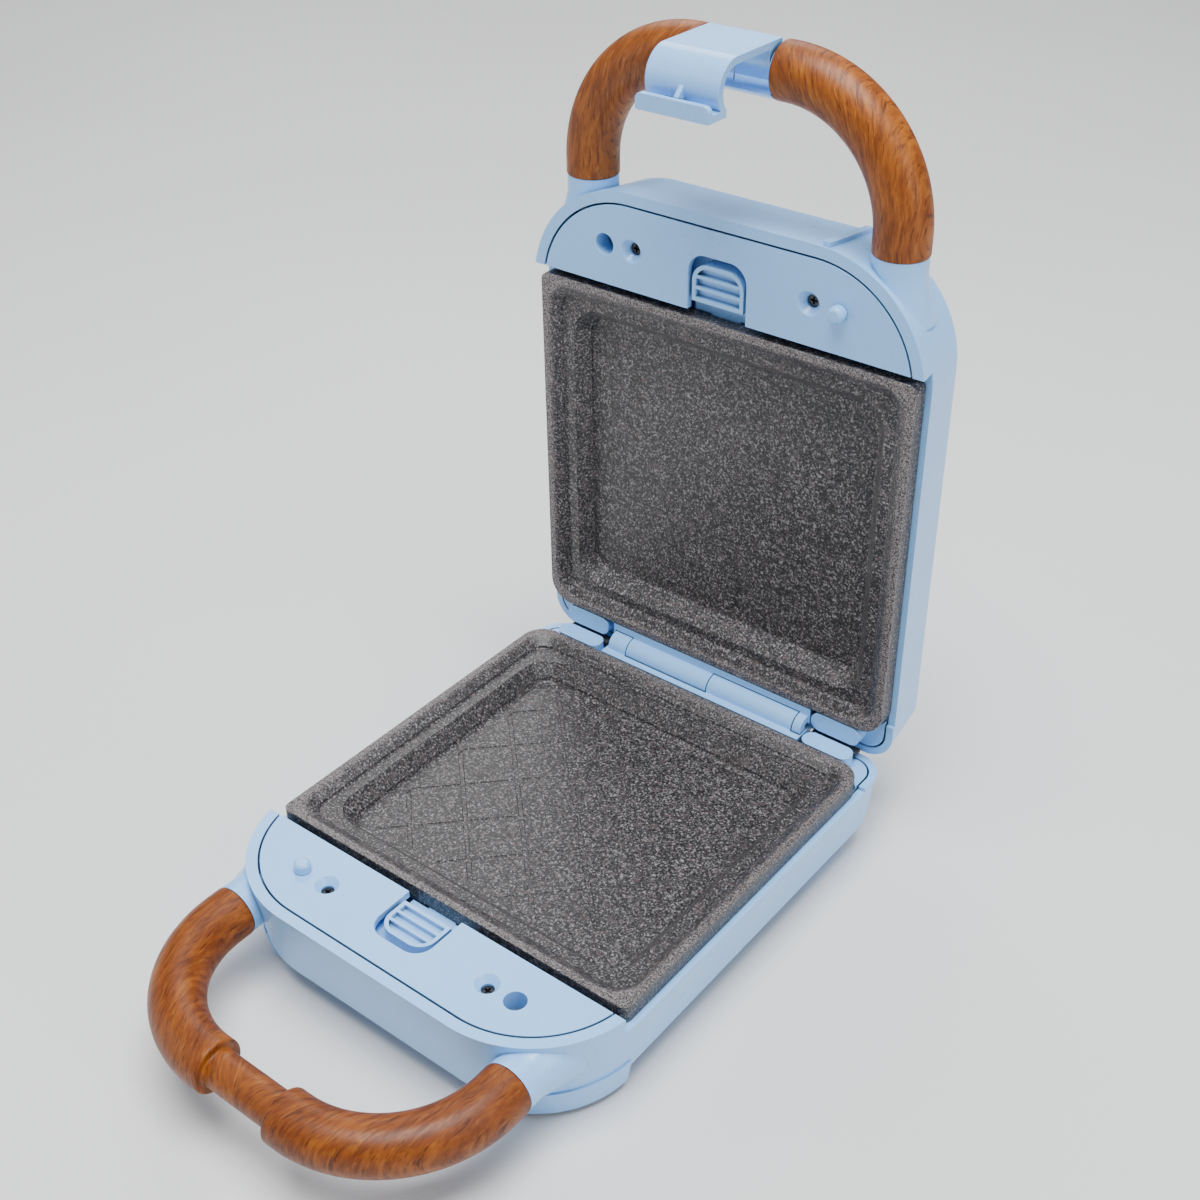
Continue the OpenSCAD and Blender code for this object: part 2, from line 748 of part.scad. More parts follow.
module hinge_pin() color(steel) base_place()
    x_rod(base_knuckles[0][0] + 0.8, lid_knuckles[1][1] - 0.6, 0, 0, pin_r);

module lid_shell() color(blue) lid_place() difference() {
    union() {
        housing(lid_knuckles, base_knuckles, block_x0 - over, false);
        // Upright rib on the handle-end wall
        difference() {
            intersection() {
                span(rib_x, rib_x + 2.2, body_front - side_draft - 1.5, body_front + 3,
                    floor_z, rim_z - 1);
                tub(half_x + 1, body_front + rib_h, rear_face, corner_r + 1, rear_r, rim_z,
                    floor_z + 0.4, side_draft, edge_r);
            }
            translate([0, 0, rim_z - rim_deep - 0.1]) linear_extrude(height = rim_deep + over)
                plan(rim_w);
        }
    }
    // Grip serrations across the rounded outer edge
    for (i = [0:scallops - 1]) {
        translate([-46 + i * 2.6, -(body_front - side_draft - edge_r), floor_z + edge_r])
            rotate([45, 0, 0]) translate([0, -edge_r - 0.6, 0])
                cylinder(r = 1.1, h = 7, center = true, $fn = 24);
    }
    for (s = [-1, 1]) {
        z_rod(s * lamp_x, lamp_u, floor_z - over, inner_floor_z + over, lamp_r + run_fit);
    }
}

module lid_deck() color(blue) lid_place() deck(1);
module lid_deck_pegs() color(blue) lid_place() peg(1);
module lid_deck_screws() color(steel) lid_place() deck_screws();
module lid_hinge_covers() color(blue) lid_place() hinge_covers();
module lid_grill_plate() color(granite) lid_place() grill_plate();
module lid_heater() color(steel) lid_place() heater();
module lid_reflector() color(steel) lid_place() reflector();
module lid_thermostat() color(dark) lid_place() thermostat();
module lid_wiring() color(dark) lid_place() wiring();
module lid_button() color(blue) lid_place() button();
module lid_button_spring() color(steel) lid_place() button_spring();

module lid_grip(s) {
    difference() {
        grip_path(s, grip_r, grip_start, neck_half + cheek_lip);
        grip_path(s, core_r + run_fit, grip_start - over, neck_half);
        x_rod(s > 0 ? neck_half : -neck_half - cheek_t, s > 0 ? neck_half + cheek_t : -neck_half,
            grip_u, handle_z, cheek_r + run_fit, fine);
    }
}

module lid_grip_left() color(wood) lid_place() lid_grip(-1);
module lid_grip_right() color(wood) lid_place() lid_grip(1);
module lid_handle_core_left() color(steel) lid_place() grip_path(-1, core_r, core_u, neck_half + 0.4);
module lid_handle_core_right() color(steel) lid_place() grip_path(1, core_r, core_u, neck_half + 0.4);

// Cheeks and back bar between the two lid grips
module latch_bridge() color(blue) swung_place() difference() {
    union() {
        for (s = [-1, 1]) {
            x_rod(s > 0 ? neck_half : -neck_half - cheek_t, s > 0 ? neck_half + cheek_t : -neck_half,
                grip_u, -handle_z, cheek_r, fine);
        }
        intersection() {
            x_rod(-neck_half - 0.3, neck_half + 0.3, grip_u, -handle_z, grip_r - 0.1, fine);
            union() {
                span(-neck_half - 1, neck_half + 1, grip_u - 9, grip_u - 5.2, 0, 20);
                span(-neck_half - 1, neck_half + 1, grip_u - 9, grip_u + 4, 14.4, 20);
            }
        }
    }
    x_rod(-neck_half - 1.4, neck_half + 1.4, pivot_u, pivot_z, axle_r + run_fit);
    for (s = [-1, 1]) {
        x_rod(s > 0 ? neck_half + 0.4 : -neck_half - 6, s > 0 ? neck_half + 6 : -neck_half - 0.4,
            grip_u, -handle_z, core_r + run_fit);
    }
}

module latch_clip() color(blue) swung_place() {
    latch_solid();
    // Turned-up end of the finger tab, with rounded corners
    translate([0, -(grip_u - tab_x - latch_t + lip_reach / 2), handle_z - lip_low])
        linear_extrude(height = lip_t) lip_plan(latch_half_w, lip_reach / 2, lip_r);
    // Web between the hook and the finger tab
    translate([-0.7, 0, 0]) rotate([90, 0, 90]) linear_extrude(height = 1.4)
        translate([-grip_u, handle_z])
            polygon([
                [tab_x + 1, -lip_low + 1], [tab_x + latch_t - lip_reach, -lip_low + 1],
                [tab_x + latch_t - lip_reach, -lip_low + lip_t],
                (hook_out - 0.6) * [cos(-102), sin(-102)], (hook_out - 0.6) * [cos(-52), sin(-52)]
            ]);
}

module lip_plan(hw, hd, r) {
    translate([-hw + r, -hd]) square([2 * (hw - r), 2 * hd]);
    translate([-hw, -hd + r]) square([2 * hw, 2 * (hd - r)]);
    for (a = [-1, 1], b = [-1, 1]) {
        translate([a * (hw - r), b * (hd - r)]) circle(r = r, $fn = coarse);
    }
}

module latch_axle() color(steel) swung_place()
    x_rod(-neck_half - 1.3, neck_half + 1.3, pivot_u, pivot_z, axle_r);

// Torsion spring: coils round the axle with a straight leg to the bridge
module latch_spring() color(steel) swung_place() {
    n = 6;
    wire = 0.3;
    coil = 1.85;
    pitch = 1;
    x0 = -pitch * (n - 1) / 2;
    for (i = [0:n - 1]) {
        translate([x0 + i * pitch, -pivot_u, pivot_z]) rotate([0, 90, 0])
            rotate_extrude($fn = 32) translate([coil, 0]) circle(r = wire, $fn = 16);
    }
    for (i = [0:n - 2]) {
        x_rod(x0 + i * pitch, x0 + (i + 1) * pitch, pivot_u,
            pivot_z + (i % 2 == 0 ? -1 : 1) * coil, wire * 0.8, 24);
    }
    u_rod(x0, grip_u - 5.15, pivot_u + 0.2, pivot_z + coil, wire * 0.8, 24);
}

module lamp_board() color([0.15, 0.35, 0.2]) lid_place() difference() {
    span(-lamp_x - 7, lamp_x + 7, lamp_u - 7, lamp_u + 7, inner_floor_z, inner_floor_z + 1.6);
    for (s = [-1, 1]) {
        z_rod(s * lamp_x, lamp_u, inner_floor_z - 1, inner_floor_z + 3, lamp_r + run_fit);
    }
}

module lamp_lenses() color([0.8, 0.2, 0.15]) lid_place() {
    for (s = [-1, 1]) {
        z_rod(s * lamp_x, lamp_u, floor_z + 0.3, inner_floor_z + 1.7, lamp_r);
        z_rod(s * lamp_x, lamp_u, inner_floor_z + 1.6, inner_floor_z + 3.2, lamp_r + 0.8);
    }
}

base_shell();
base_deck();
base_hinge_covers();
base_gap_seals();
base_grill_plate();
base_heater();
base_reflector();
base_thermostat();
base_thermal_fuse();
terminal_block();
base_wiring();
base_button();
base_button_spring();
base_deck_screws();
base_deck_pegs();
foot_pads();
base_grip();
base_handle_core();
cord_gland();
hinge_pin();
lid_shell();
lid_deck();
lid_hinge_covers();
lid_grill_plate();
lid_heater();
lid_reflector();
lid_thermostat();
lid_wiring();
lid_button();
lid_button_spring();
lid_deck_screws();
lid_deck_pegs();
lid_grip_left();
lid_grip_right();
lid_handle_core_left();
lid_handle_core_right();
latch_bridge();
latch_clip();
latch_axle();
latch_spring();
lamp_board();
lamp_lenses();
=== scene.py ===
"""Looks for the compact plate maker: materials, softened edges, floor, light and camera."""

import json
import math

import bmesh
import bpy
from mathutils import Matrix, Vector


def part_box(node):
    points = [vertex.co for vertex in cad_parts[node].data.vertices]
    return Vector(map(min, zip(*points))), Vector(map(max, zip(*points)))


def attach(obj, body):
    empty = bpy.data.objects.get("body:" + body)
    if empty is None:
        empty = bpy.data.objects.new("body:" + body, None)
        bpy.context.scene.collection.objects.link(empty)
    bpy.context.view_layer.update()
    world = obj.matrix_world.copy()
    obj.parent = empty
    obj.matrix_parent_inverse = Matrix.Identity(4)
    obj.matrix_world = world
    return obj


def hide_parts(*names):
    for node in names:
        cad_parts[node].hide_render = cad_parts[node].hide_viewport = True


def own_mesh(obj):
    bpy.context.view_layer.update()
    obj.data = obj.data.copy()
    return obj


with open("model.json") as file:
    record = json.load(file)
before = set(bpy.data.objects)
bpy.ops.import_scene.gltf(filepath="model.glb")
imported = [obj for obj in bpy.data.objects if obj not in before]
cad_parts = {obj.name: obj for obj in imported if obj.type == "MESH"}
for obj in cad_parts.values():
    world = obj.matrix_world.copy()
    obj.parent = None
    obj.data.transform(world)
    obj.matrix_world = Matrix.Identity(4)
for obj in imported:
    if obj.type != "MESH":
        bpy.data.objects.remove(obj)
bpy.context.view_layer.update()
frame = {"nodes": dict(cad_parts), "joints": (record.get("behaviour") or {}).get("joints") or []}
MM = 0.001
joints = {j["name"]: j for j in frame["joints"]}
HINGE = Vector(joints["lid_hinge"]["pos_m"])
nodes = frame["nodes"]


# ---------------------------------------------------------------- node helpers
class Tree:
    """A material with a Principled shader, and short calls that add nodes to it."""

    def __init__(self, name):
        self.mat = bpy.data.materials.new(name)
        self.mat.use_nodes = True
        self.nt = self.mat.node_tree
        self.nt.nodes.clear()
        self.out = self.nt.nodes.new("ShaderNodeOutputMaterial")
        self.bsdf = self.nt.nodes.new("ShaderNodeBsdfPrincipled")
        self.nt.links.new(self.bsdf.outputs[0], self.out.inputs[0])

    def new(self, kind, **props):
        node = self.nt.nodes.new(kind)
        for key, value in props.items():
            setattr(node, key, value)
        return node

    def link(self, a, b):
        self.nt.links.new(a, b)

    def fixed(self, **values):
        for key, value in values.items():
            self.bsdf.inputs[key.replace("_", " ")].default_value = value

    def coords(self):
        return self.new("ShaderNodeTexCoord").outputs["Object"]

    def mapping(self, vector, scale=(1, 1, 1), rotation=(0, 0, 0), location=(0, 0, 0)):
        node = self.new("ShaderNodeMapping")
        node.inputs["Scale"].default_value = scale
        node.inputs["Rotation"].default_value = rotation
        node.inputs["Location"].default_value = location
        self.link(vector, node.inputs["Vector"])
        return node.outputs[0]

    def noise(self, vector, scale, detail=2.0, rough=0.5, distortion=0.0):
        node = self.new("ShaderNodeTexNoise")
        node.inputs["Scale"].default_value = scale
        node.inputs["Detail"].default_value = detail
        node.inputs["Roughness"].default_value = rough
        node.inputs["Distortion"].default_value = distortion
        self.link(vector, node.inputs["Vector"])
        return node.outputs["Fac"]

    def ramp(self, fac, stops, interpolation="LINEAR"):
        node = self.new("ShaderNodeValToRGB")
        node.color_ramp.interpolation = interpolation
        elements = node.color_ramp.elements
        while len(elements) < len(stops):
            elements.new(0.5)
        for element, (pos, colour) in zip(elements, stops):
            element.position = pos
            element.color = (*colour, 1) if len(colour) == 3 else colour
        self.link(fac, node.inputs[0])
        return node.outputs[0]

    def grey(self, fac, stops):
        return self.ramp(fac, [(p, (v, v, v)) for p, v in stops])

    def math(self, op, a, b=None, c=None, clamp=False):
        node = self.new("ShaderNodeMath", operation=op, use_clamp=clamp)
        for socket, value in zip(node.inputs, (a, b, c)):
            if value is None:
                continue
            if isinstance(value, (int, float)):
                socket.default_value = value
            else:
                self.link(value, socket)
        return node.outputs[0]

    def mix(self, fac, a, b, blend="MIX"):
        node = self.new("ShaderNodeMix", data_type="RGBA", blend_type=blend)
        for socket, value in ((node.inputs[0], fac), (node.inputs[6], a), (node.inputs[7], b)):
            if isinstance(value, (int, float)):
                socket.default_value = value
            elif isinstance(value, tuple):
                socket.default_value = (*value, 1)
            else:
                self.link(value, socket)
        return node.outputs[2]

    def split(self, vector):
        node = self.new("ShaderNodeSeparateXYZ")
        self.link(vector, node.inputs[0])
        return node.outputs

    def join(self, x, y, z):
        node = self.new("ShaderNodeCombineXYZ")
        for socket, value in zip(node.inputs, (x, y, z)):
            if isinstance(value, (int, float)):
                socket.default_value = value
            else:
                self.link(value, socket)
        return node.outputs[0]

    def bump(self, height, strength, distance, normal=None):
        node = self.new("ShaderNodeBump")
        node.inputs["Strength"].default_value = strength
        node.inputs["Distance"].default_value = distance
        self.link(height, node.inputs["Height"])
        if normal is not None:
            self.link(normal, node.inputs["Normal"])
        return node.outputs[0]

    def painted_seam_shade(self, base, reach, deep):
        """Painted shade: the colour darkens towards a deep tone where nearby surfaces close in, in
        narrow seam gaps and slots.
        """
        node = self.new("ShaderNodeAmbientOcclusion", samples=16)
        node.inputs["Distance"].default_value = reach
        shade = self.grey(node.outputs["AO"], [(0.0, 1.0), (0.30, 0.60), (0.50, 0.12), (0.66, 0.0)])
        return self.mix(shade, base, deep)

    def finish(self, colour=None, rough=None, normal=None, metallic=None):
        for value, name in ((colour, "Base Color"), (rough, "Roughness"), (normal, "Normal"),
                            (metallic, "Metallic")):
            if value is not None:
                self.link(value, self.bsdf.inputs[name])
        return self.mat


# ---------------------------------------------------------------- materials
def moulded_plastic(name, colour, rough=0.3, coat=0.25):
    """Pale satin-gloss moulding: slow tone drift, fine grain in the gloss, faint sink marks."""
    t = Tree(name)
    pos = t.coords()
    drift = t.noise(pos, 9, 2, 0.5)
    fine = t.noise(pos, 900, 2, 0.6)
    dark = tuple(c * 0.955 for c in colour)
    light = tuple(min(1.0, c * 1.03) for c in colour)
    base = t.ramp(drift, [(0.3, dark), (0.7, light)])
    base = t.mix(t.grey(fine, [(0.35, 0.0), (0.75, 0.05)]), base, (0.95, 0.97, 1.0))
    # Painted shade: colour darkened in narrow seam gaps and slots
    base = t.painted_seam_shade(base, 0.0028, tuple(c * 0.10 for c in colour))
    gloss = t.noise(pos, 60, 4, 0.6)
    r = t.grey(gloss, [(0.25, rough - 0.045), (0.75, rough + 0.06)])
    waves = t.noise(pos, 26, 1, 0.4)
    normal = t.bump(waves, 0.05, 0.002)
    normal = t.bump(fine, 0.10, 0.00006, normal)
    t.fixed(Coat_Weight=coat, Coat_Roughness=0.14, IOR=1.49)
    return t.finish(base, r, normal)


def granite_coating(name, lid=False, tone_and_shade_gain=1.0):
    """Warm dark grey non-stick coating with pale and pinkish flecks, brighter on worn rims."""
    t = Tree(name)
    pos = t.coords()
    warp = t.new("ShaderNodeVectorMath", operation="MULTIPLY_ADD")
    t.link(t.join(t.noise(pos, 900, 2), t.noise(pos, 830, 2), t.noise(pos, 770, 2)), warp.inputs[0])
    warp.inputs[1].default_value = (0.0006, 0.0006, 0.0006)
    t.link(pos, warp.inputs[2])
    warped = warp.outputs[0]
    fleck = t.noise(warped, 1500, 2.0, 0.60)
    small = t.noise(warped, 2500, 2.0, 0.55)
    mid = t.noise(warped, 620, 2.0, 0.5)
    cloud = t.noise(pos, 90, 3.0, 0.55)
    tint = t.noise(pos, 420, 1.0, 0.5)
    base = t.ramp(fleck, [(0.36, (0.009, 0.0082, 0.0088)), (0.47, (0.026, 0.0238, 0.0250)),
                          (0.54, (0.060, 0.0555, 0.0580)), (0.60, (0.190, 0.179, 0.185)),
                          (0.70, (0.42, 0.40, 0.41))])
    base = t.mix(t.grey(small, [(0.53, 0.0), (0.66, 0.36)]), base, (0.28, 0.265, 0.272))
    base = t.mix(t.grey(small, [(0.30, 0.5), (0.43, 0.0)]), base, (0.016, 0.0145, 0.0155))
    base = t.mix(t.grey(mid, [(0.34, 0.35), (0.50, 0.0)]), base, (0.030, 0.027, 0.029))
    base = t.mix(t.grey(cloud, [(0.35, 0.16), (0.6, 0.0)]), base, (0.022, 0.020, 0.021))
    pink = t.mix(t.grey(tint, [(0.58, 0.0), (0.66, 0.22)]), base, (0.24, 0.165, 0.165))
    # Rubbed edges: close to the rim plane the flecks are denser
    x, y, z = t.split(pos)
    away = t.math("ABSOLUTE", t.math("SUBTRACT", y, HINGE.y) if lid
                  else t.math("SUBTRACT", z, HINGE.z))
    rim = t.math("SUBTRACT", 1.0, t.math("DIVIDE", away, 0.0011), clamp=True)
    edge = t.math("MULTIPLY", rim, t.grey(small, [(0.44, 0.0), (0.58, 0.55)]))
    base = t.mix(edge, pink, (0.50, 0.43, 0.42))
    # scaled by the gain: the coating's own tone, plus painted shade where a copy gets a darker gain
    base = t.mix(1.0, base, (tone_and_shade_gain, tone_and_shade_gain, tone_and_shade_gain), "MULTIPLY")
    r = t.grey(fleck, [(0.3, 0.36), (0.7, 0.54)])
    normal = t.bump(fleck, 0.30, 0.00006)
    normal = t.bump(t.noise(pos, 110, 2), 0.10, 0.0004, normal)
    t.fixed(Coat_Weight=0.06, Coat_Roughness=0.35, IOR=1.45)
    return t.finish(base, r, normal)


def wood_print(name, bend_x, bend_at, axis_at, reach_axis, tone_and_shade_gain):
    """Orange-brown wood look. The grain runs the way the loop reaches and leans with its bends.
    reach_axis 1: the loop reaches out along -Y; 2: it stands up along +Z."""
    t = Tree(name)
    pos = t.coords()
    x, y, z = t.split(pos)
    side = t.math("SIGN", x)
    wide = t.math("ABSOLUTE", x)
    if reach_axis == 1:
        reach = t.math("SUBTRACT", bend_at, y)
        height = t.math("SUBTRACT", z, axis_at)
    else:
        reach = t.math("SUBTRACT", z, bend_at)
        height = t.math("SUBTRACT", y, axis_at)
    # Distance from the middle of the bend: lines of equal distance follow the tube
    out = t.math("MAXIMUM", t.math("SUBTRACT", wide, bend_x), 0.0)
    past = t.math("MAXIMUM", reach, 0.0)
    radius = t.math("SQRT", t.math("ADD", t.math("MULTIPLY", out, out),
                                   t.math("MULTIPLY", past, past)))
    across = t.math("ADD", t.math("MULTIPLY", wide, 0.66), t.math("MULTIPLY", radius, 0.34))
    shift = t.math("MULTIPLY", side, 0.31)
    drift = t.noise(pos, 55, 2, 0.5)
    across = t.math("ADD", across, t.math("MULTIPLY", drift, 0.004))
    length = t.math("ADD", reach, shift)
    grain = t.join(across, t.math("MULTIPLY", length, 0.13), t.math("MULTIPLY", height, 0.17))
    dashes = t.join(across, t.math("MULTIPLY", length, 0.075), t.math("MULTIPLY", height, 0.10))
    broad = t.join(across, t.math("MULTIPLY", length, 0.30), t.math("MULTIPLY", height, 0.34))
    rings = t.noise(broad, 230, 3, 0.6, 0.4)
    fibre = t.noise(grain, 1150, 4, 0.68, 0.35)
    streak = t.noise(dashes, 1700, 3, 0.6, 0.2)
    pores = t.noise(dashes, 3000, 2, 0.55)
    tone = t.noise(broad, 60, 2, 0.5)
    base = t.ramp(rings, [(0.30, WOOD[0]), (0.50, WOOD[1]), (0.68, WOOD[2])])
    base = t.mix(t.grey(fibre, [(0.34, 0.62), (0.50, 0.0)]), base, WOOD[3])
    base = t.mix(t.grey(fibre, [(0.52, 0.0), (0.72, 0.55)]), base, WOOD[4])
    base = t.mix(t.grey(streak, [(0.33, 0.80), (0.43, 0.0)]), base, WOOD[5])
    base = t.mix(t.grey(pores, [(0.30, 0.7), (0.38, 0.0)]), base, WOOD[6])
    base = t.mix(t.grey(tone, [(0.35, 0.25), (0.62, 0.0)]), base, WOOD[3])
    # scaled by the gain: the wood's own tone, plus painted shade where a copy gets a darker gain
    base = t.mix(1.0, base, tone_and_shade_gain, "MULTIPLY")
    r = t.grey(fibre, [(0.3, 0.50), (0.7, 0.40)])
    normal = t.bump(streak, 0.22, 0.00012)
    normal = t.bump(fibre, 0.14, 0.0001, normal)
    t.fixed(Coat_Weight=0.03, Coat_Roughness=0.28, IOR=1.38)
    return t.finish(base, r, normal)


def brushed_metal(name, colour, rough, stretch):
    t = Tree(name)
    pos = t.coords()
    lines = t.noise(t.mapping(pos, stretch), 1400, 3, 0.6)
    stain = t.noise(pos, 70, 3, 0.6)
    dark = tuple(c * 0.72 for c in colour)
    base = t.ramp(stain, [(0.3, dark), (0.7, colour)])
    r = t.grey(lines, [(0.25, rough - 0.08), (0.75, rough + 0.1)])
    normal = t.bump(lines, 0.18, 0.00005)
    t.fixed(Metallic=1.0)
    return t.finish(base, r, normal)


def dull_polymer(name, colour, rough, grain=1200, lift=1.6):
    t = Tree(name)
    pos = t.coords()
    g = t.noise(pos, grain, 3, 0.6)
    patch = t.noise(pos, 55, 3, 0.55)
    light = tuple(min(1.0, c * lift + 0.004) for c in colour)
    base = t.ramp(patch, [(0.3, colour), (0.75, light)])
    r = t.grey(g, [(0.3, rough - 0.07), (0.7, rough + 0.07)])
    normal = t.bump(g, 0.22, 0.0001)
    return t.finish(base, r, normal)


def lens_plastic(name, colour):
    t = Tree(name)
    pos = t.coords()
    depth = t.noise(pos, 240, 2, 0.5)
    base = t.ramp(depth, [(0.3, tuple(c * 0.6 for c in colour)), (0.7, colour)])
    r = t.grey(t.noise(pos, 700, 2), [(0.3, 0.06), (0.7, 0.13)])
    t.fixed(Coat_Weight=0.6, Coat_Roughness=0.05, IOR=1.5)
    return t.finish(base, r, t.bump(depth, 0.05, 0.0002))


BLUE = (0.262, 0.548, 0.960)
# Wood tones: dark, middle and light ground, deep grain, pale grain, streaks, pores
WOOD = [(0.200, 0.050, 0.0050), (0.290, 0.080, 0.0085), (0.385, 0.122, 0.0150),
        (0.110, 0.024, 0.0030), (0.560, 0.225, 0.0440), (0.070, 0.0150, 0.0020),
        (0.040, 0.0085, 0.0015)]
# Where the loop grips run and bend, from their boxes
grip_low, grip_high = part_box("base_grip")
grip_r = (grip_high[2] - grip_low[2]) / 2
bend_r = 36.3 * MM
bend_x = grip_high[0] - grip_r - bend_r
base_axis_z = (grip_low[2] + grip_high[2]) / 2
base_bend_y = grip_low[1] + grip_r + bend_r
lid_low, lid_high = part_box("lid_grip_right")
lid_axis_y = (lid_low[1] + lid_high[1]) / 2
lid_bend_z = lid_high[2] - grip_r - bend_r

blue = moulded_plastic("blue_moulding", BLUE)
blue_small = moulded_plastic("blue_small_parts", tuple(c * 0.985 for c in BLUE), 0.27, 0.35)
# the base copy is darker than the lid copy as painted shade; the rest of each gain is the coating's
# own tone
granite_base = granite_coating("granite_base", tone_and_shade_gain=0.70)
granite_lid = granite_coating("granite_lid", lid=True, tone_and_shade_gain=0.97)
# the base grip copy is darker than the lid grip copy as painted shade; the rest of each gain is the
# wood's own tone
wood_base = wood_print("wood_base", bend_x, base_bend_y, base_axis_z, 1, (0.70, 0.60, 0.42))
wood_lid = wood_print("wood_lid", bend_x, lid_bend_z, lid_axis_y, 2, (0.88, 0.82, 0.66))
steel = brushed_metal("turned_steel", (0.56, 0.57, 0.59), 0.3, (1, 1, 0.1))
# Painted shade: the deck screws are coloured near black so their holes read deep and shaded
steel_dark_as_shade = brushed_metal("steel_painted_shade", (0.075, 0.075, 0.08), 0.42, (1, 1, 0.1))
sheathed = brushed_metal("element_sheath", (0.30, 0.29, 0.28), 0.45, (1, 0.15, 1))
rolled = brushed_metal("rolled_aluminium", (0.78, 0.79, 0.80), 0.25, (0.08, 1, 1))
dark = dull_polymer("dark_phenolic", (0.022, 0.021, 0.022), 0.55)
# dark pad rubber for the feet and cord gland, also lent to the gap seals as painted shade
rubber_and_gap_shade = dull_polymer("pad_rubber_and_gap_shade", (0.030, 0.030, 0.032), 0.75, 1600)
board = dull_polymer("board_laminate", (0.03, 0.16, 0.07), 0.4, 2200, 1.3)
sleeve = dull_polymer("lead_sleeve", (0.62, 0.60, 0.54), 0.6, 2600, 1.1)
lens = lens_plastic("lamp_red", (0.55, 0.03, 0.02))

LOOKS = {
    "base_shell": blue, "lid_shell": blue, "base_deck": blue, "lid_deck": blue,
    "base_hinge_covers": blue_small, "lid_hinge_covers": blue_small,
    "base_button": blue_small, "lid_button": blue_small,
    "base_deck_pegs": blue_small, "lid_deck_pegs": blue_small,
    "latch_bridge": blue_small, "latch_clip": blue_small,
    "base_grill_plate": granite_base, "lid_grill_plate": granite_lid,
    "base_grip": wood_base, "lid_grip_left": wood_lid, "lid_grip_right": wood_lid,
    "base_heater": sheathed, "lid_heater": sheathed,
    "base_reflector": rolled, "lid_reflector": rolled,
    "base_thermostat": dark, "lid_thermostat": dark, "terminal_block": dark,
    "base_wiring": sleeve, "lid_wiring": sleeve,
    # the gap seals are a dark strip in the pad rubber colour: painted shade closing the hinge gap
    "foot_pads": rubber_and_gap_shade, "cord_gland": rubber_and_gap_shade, "base_gap_seals": rubber_and_gap_shade,
    # the deck screws take the near-black steel as painted shade in their holes
    "base_deck_screws": steel_dark_as_shade, "lid_deck_screws": steel_dark_as_shade,
    "lamp_board": board, "lamp_lenses": lens,
}
for name, obj in nodes.items():
    obj.data.materials.clear()
    obj.data.materials.append(LOOKS.get(name, steel))

# ---------------------------------------------------------------- softened moulding edges
# width in millimetres of the rounding on each node's sharp edges
SOFT = {
    "base_shell": 0.45, "lid_shell": 0.45, "base_deck": 0.35, "lid_deck": 0.35,
    "base_hinge_covers": 0.35, "lid_hinge_covers": 0.35, "base_button": 0.14, "lid_button": 0.14,
    "base_deck_pegs": 0.3, "lid_deck_pegs": 0.3, "latch_bridge": 0.3, "latch_clip": 0.7,
    "base_grill_plate": 0.6, "lid_grill_plate": 0.6, "base_grip": 0.7, "lid_grip_left": 0.5,
    "lid_grip_right": 0.5, "foot_pads": 0.25, "cord_gland": 0.3,
}
for name, width in SOFT.items():
    obj = nodes[name]
    weld = obj.modifiers.new("weld", "WELD")
    weld.merge_threshold = 0.000004
    flat = obj.modifiers.new("flat", "DECIMATE")
    flat.decimate_type = "DISSOLVE"
    flat.angle_limit = math.radians(0.6)
    bevel = obj.modifiers.new("bevel", "BEVEL")
    bevel.limit_method = "ANGLE"
    bevel.angle_limit = math.radians(28)
    bevel.width = width * MM
    bevel.segments = 3
    bevel.use_clamp_overlap = True
    normals = obj.modifiers.new("normals", "WEIGHTED_NORMAL")
    normals.keep_sharp = False
    normals.weight = 80

# ---------------------------------------------------------------- button springs
def coil_spring(name, body, line):
    """Helical wire spring with closed ends.
    line: the axis it lies along."""
    low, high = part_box(name)
    across = 2 if line == 1 else 1
    middle = [(a + b) / 2 for a, b in zip(low, high)]
    length = high[line] - low[line]
    wire, turns, closed = 0.25 * MM, 5.0, 0.8
    steps, sides = 40, 12
    coil = (high[0] - low[0]) / 2 - wire
    count = int(turns * steps)
    points, faces = [], []
    for i in range(count + 1):
        turn = i / steps
        # The pitch is tight in the closed end turns and open between them
        share = (min(max(turn, closed), turns - closed) - closed) / (turns - 2 * closed)
        tight = 2 * wire * (min(turn, closed) + max(turn - turns + closed, 0))
        height = low[line] + wire + tight + share * (length - 2 * wire * (1 + 2 * closed))
        angle = 2 * math.pi * turn
        for k in range(sides):
            b = 2 * math.pi * k / sides
            reach = coil + wire * math.cos(b)
            place = [0.0, 0.0, 0.0]
            place[0] = middle[0] + reach * math.cos(angle)
            place[across] = middle[across] + reach * math.sin(angle)
            place[line] = height + wire * math.sin(b)
            points.append(place)
    for i in range(count):
        for k in range(sides):
            a, b = i * sides + k, i * sides + (k + 1) % sides
            faces.append((a, b, b + sides, a + sides))
    faces.append(tuple(reversed(range(sides))))
    faces.append(tuple(range(count * sides, (count + 1) * sides)))
    mesh = bpy.data.meshes.new(name + "_coil")
    mesh.from_pydata(points, [], faces)
    mesh.validate()
    shell = bmesh.new()
    shell.from_mesh(mesh)
    bmesh.ops.recalc_face_normals(shell, faces=shell.faces)
    shell.to_mesh(mesh)
    shell.free()
    mesh.shade_smooth()
    mesh.materials.append(steel)
    obj = bpy.data.objects.new(name + "_coil", mesh)
    bpy.context.collection.objects.link(obj)
    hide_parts(name)
    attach(obj, body)
    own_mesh(obj)


coil_spring("base_button_spring", "base", 1)
coil_spring("lid_button_spring", "lid", 2)

# ---------------------------------------------------------------- floor and light
FLOOR_SIZE = 6.0
SKY_LIGHT = 0.30


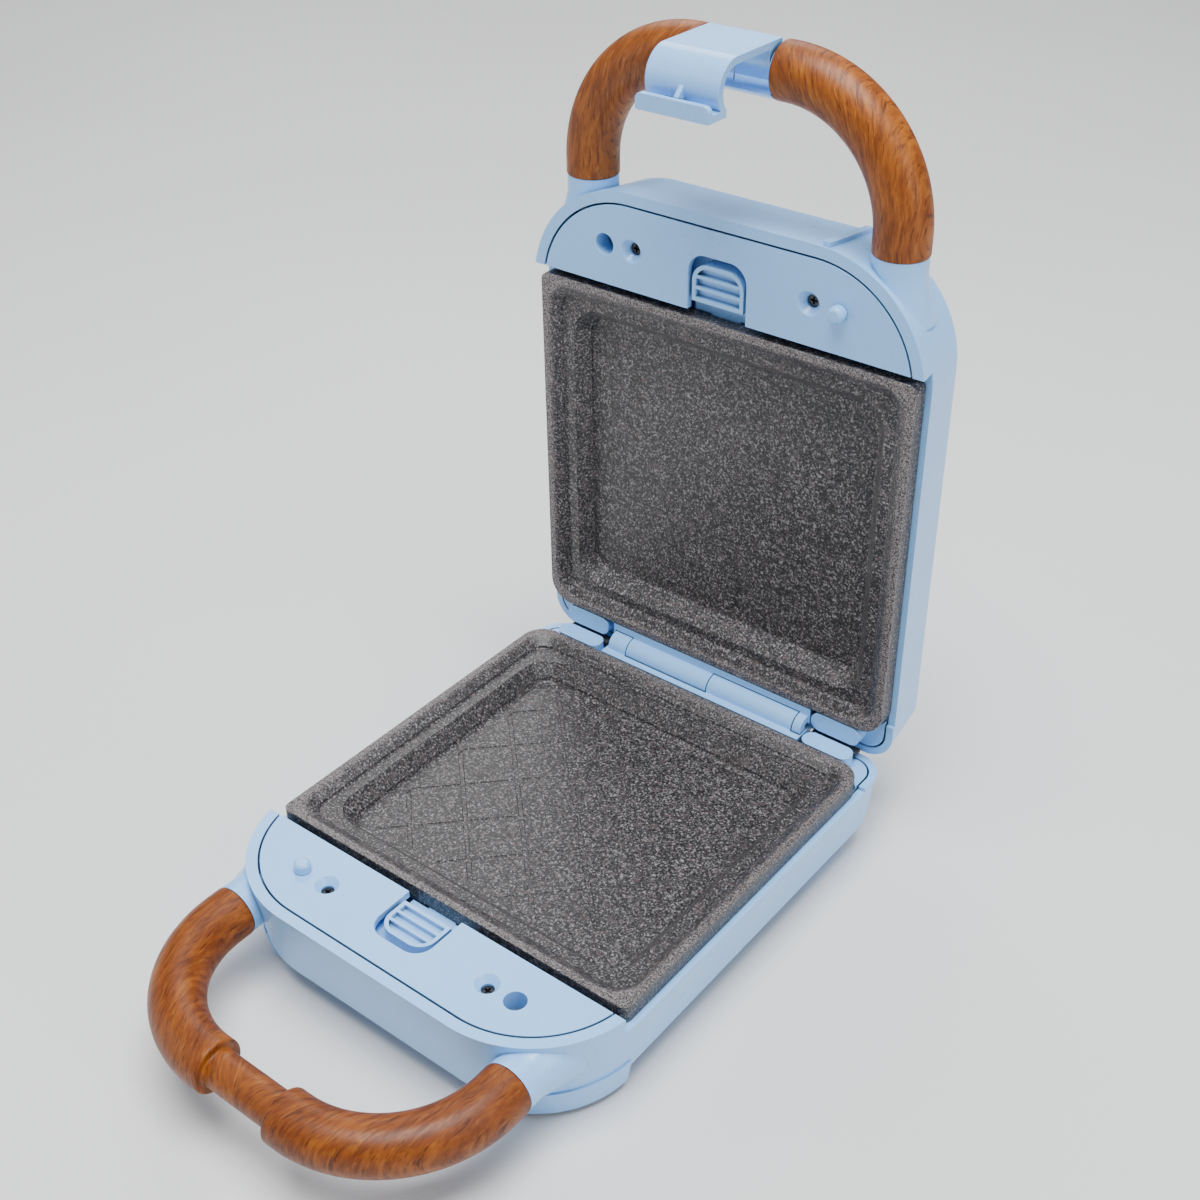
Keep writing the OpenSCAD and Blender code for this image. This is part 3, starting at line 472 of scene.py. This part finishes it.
def floor_paint():
    t = Tree("floor_paint")
    pos = t.coords()
    base = t.ramp(t.noise(pos, 3, 3), [(0.3, (0.72, 0.72, 0.71)), (0.7, (0.76, 0.76, 0.755))])
    r = t.grey(t.noise(pos, 200, 3), [(0.3, 0.55), (0.7, 0.65)])
    return t.finish(base, r, t.bump(t.noise(pos, 900, 2), 0.05, 0.0001))


bpy.ops.mesh.primitive_plane_add(size=FLOOR_SIZE, location=(0, 0, 0))
floor = bpy.context.object
floor.name = "floor"
floor.data.materials.append(floor_paint())

world = bpy.data.worlds.new("studio")
bpy.context.scene.world = world
world.use_nodes = True
world.node_tree.nodes["Background"].inputs[0].default_value = (0.96, 0.98, 1.0, 1)
world.node_tree.nodes["Background"].inputs[1].default_value = SKY_LIGHT


def area(name, where, aim, size, power, colour):
    lamp = bpy.data.lights.new(name, "AREA")
    lamp.shape = "RECTANGLE"
    lamp.size, lamp.size_y = size
    lamp.energy = power
    lamp.color = colour
    obj = bpy.data.objects.new(name, lamp)
    bpy.context.collection.objects.link(obj)
    obj.location = where
    obj.rotation_euler = (Vector(aim) - Vector(where)).to_track_quat("-Z", "Y").to_euler()


area("key_top", (0.15, -0.10, 1.3), (0, 0, 0.05), (0.9, 0.7), 30, (0.965, 0.985, 1.0))
area("back_left", (-0.95, 1.15, 1.15), (0, 0, 0.05), (1.1, 0.8), 11, (1.0, 1.0, 1.0))
area("side_left", (-1.0, -0.75, 0.55), (0, 0, 0.1), (0.6, 0.9), 3, (0.98, 0.99, 1.0))
area("side_right", (1.15, 0.0, 0.7), (0, 0, 0.1), (0.6, 0.9), 5, (1.0, 1.0, 1.0))

# ---------------------------------------------------------------- camera
AZ, EL, ROLL = math.radians(38.81), math.radians(34.44), math.radians(0.93)
FROM_HINGE = Vector((0.24489, -0.35883, 0.33008))
LENS_MM, SENSOR_MM = 49.58, 36.0
ahead = Vector((-math.sin(AZ) * math.cos(EL), math.cos(AZ) * math.cos(EL), -math.sin(EL)))
level = ahead.cross(Vector((0, 0, 1))).normalized()
tall = level.cross(ahead)
up = tall * math.cos(ROLL) + level * math.sin(ROLL)
right = ahead.cross(up)
camera = bpy.data.cameras.new("camera")
camera.sensor_width = SENSOR_MM
camera.lens = LENS_MM
camera.clip_start = 0.02
eye = bpy.data.objects.new("camera", camera)
bpy.context.collection.objects.link(eye)
place = Matrix((
    (right.x, up.x, -ahead.x), (right.y, up.y, -ahead.y), (right.z, up.z, -ahead.z)
)).to_4x4()
place.translation = HINGE + FROM_HINGE
eye.matrix_world = place
bpy.context.scene.camera = eye
